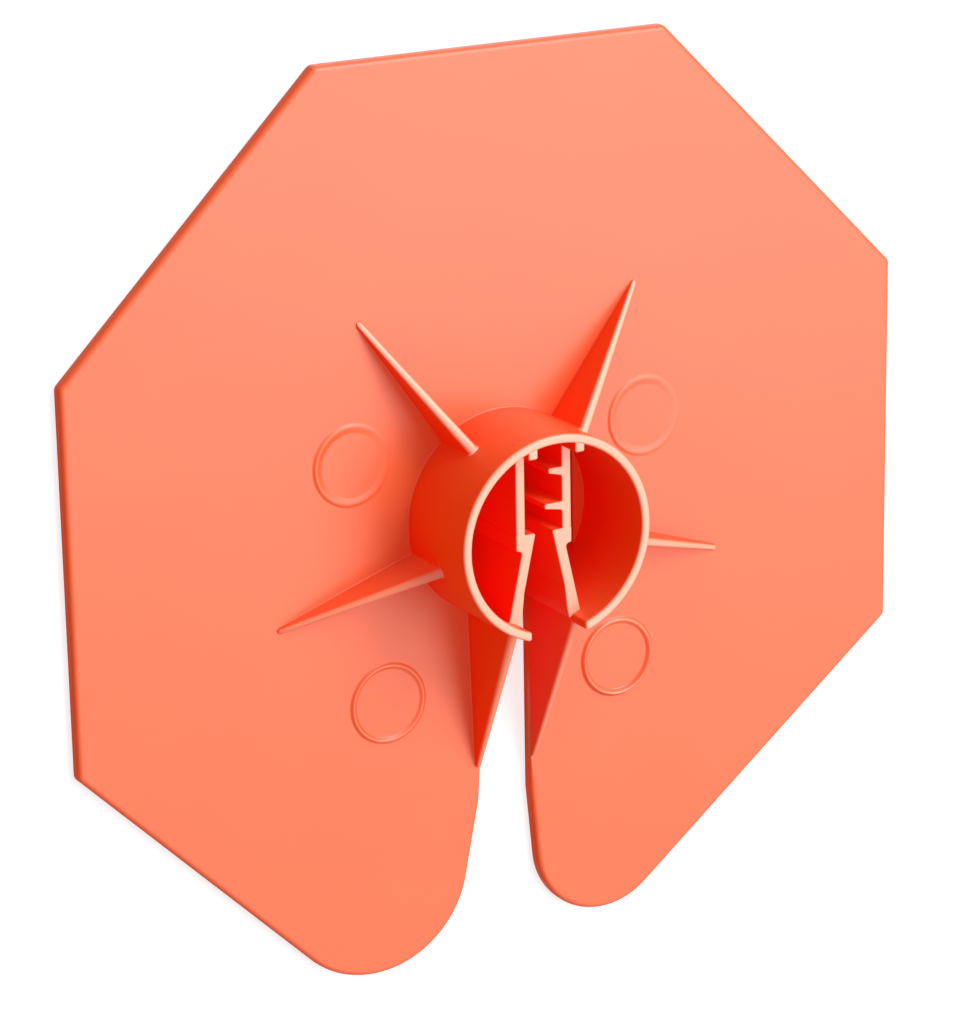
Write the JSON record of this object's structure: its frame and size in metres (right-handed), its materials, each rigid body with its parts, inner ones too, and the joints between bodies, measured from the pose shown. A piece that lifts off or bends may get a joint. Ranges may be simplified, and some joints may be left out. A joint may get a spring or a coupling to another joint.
{
  "type": "slotted retaining disc",
  "caption": "Octagonal slotted disc with a split snap hub, gusset ribs and sprung jaws that clip sideways onto a tie wire, rod or thin cord and hold sheet material in place.",
  "frame": {"origin": "middle of the plate's flat back face, on the hub axis", "axes": "+Z along the hub axis out of the plate's front face; the slot opens towards -Y; +X is to the right seen from the hub side"},
  "size_m": [0.1, 0.1, 0.0135],
  "materials": {
    "orange_moulding": "satin moulded polypropylene, coral orange through and through"
  },
  "bodies": {
    "disc": {"disc_plate": "orange_moulding", "hub_collar": "orange_moulding", "rib_upper_left": "orange_moulding", "rib_upper_right": "orange_moulding", "rib_left": "orange_moulding", "rib_right": "orange_moulding", "slot_rib_left": "orange_moulding", "slot_rib_right": "orange_moulding", "pin_ring_upper_left": "orange_moulding", "pin_ring_upper_right": "orange_moulding", "pin_ring_lower_left": "orange_moulding", "pin_ring_lower_right": "orange_moulding", "jaw_root_left": "orange_moulding", "jaw_root_right": "orange_moulding"},
    "left_upper_jaw": {"upper_leaf_left": "orange_moulding"},
    "left_lower_jaw": {"lower_leaf_left": "orange_moulding", "latch_head_left": "orange_moulding"},
    "right_upper_jaw": {"upper_leaf_right": "orange_moulding", "grip_barb_upper": "orange_moulding", "grip_barb_lower": "orange_moulding"},
    "right_lower_jaw": {"lower_leaf_right": "orange_moulding", "latch_head_right": "orange_moulding"}
  },
  "joints": [
    {"name": "left_jaw_spread", "type": "hinge", "parent": "disc", "child": "left_lower_jaw", "pos_m": [-0.0036, -0.00879, 0.0054], "axis": [0, 0, 1], "range_deg": [0, 12], "stiffness_Nm_per_rad": 0.8},
    {"name": "left_seat_spread", "type": "hinge", "parent": "disc", "child": "left_upper_jaw", "pos_m": [-0.0028, 0.00823, 0.0054], "axis": [0, 0, -1], "range_deg": [0, 13]},
    {"name": "right_jaw_spread", "type": "hinge", "parent": "disc", "child": "right_lower_jaw", "pos_m": [0.0036, -0.00879, 0.0054], "axis": [0, 0, -1], "range_deg": [0, 12], "stiffness_Nm_per_rad": 0.8},
    {"name": "right_seat_spread", "type": "hinge", "parent": "disc", "child": "right_upper_jaw", "pos_m": [0.0028, 0.00823, 0.0054], "axis": [0, 0, 1], "range_deg": [0, 13]}
  ],
  "couplings": [
    {"joint": "left_seat_spread", "follows": "left_jaw_spread", "ratio": 1.068},
    {"joint": "right_seat_spread", "follows": "right_jaw_spread", "ratio": 1.068}
  ]
}
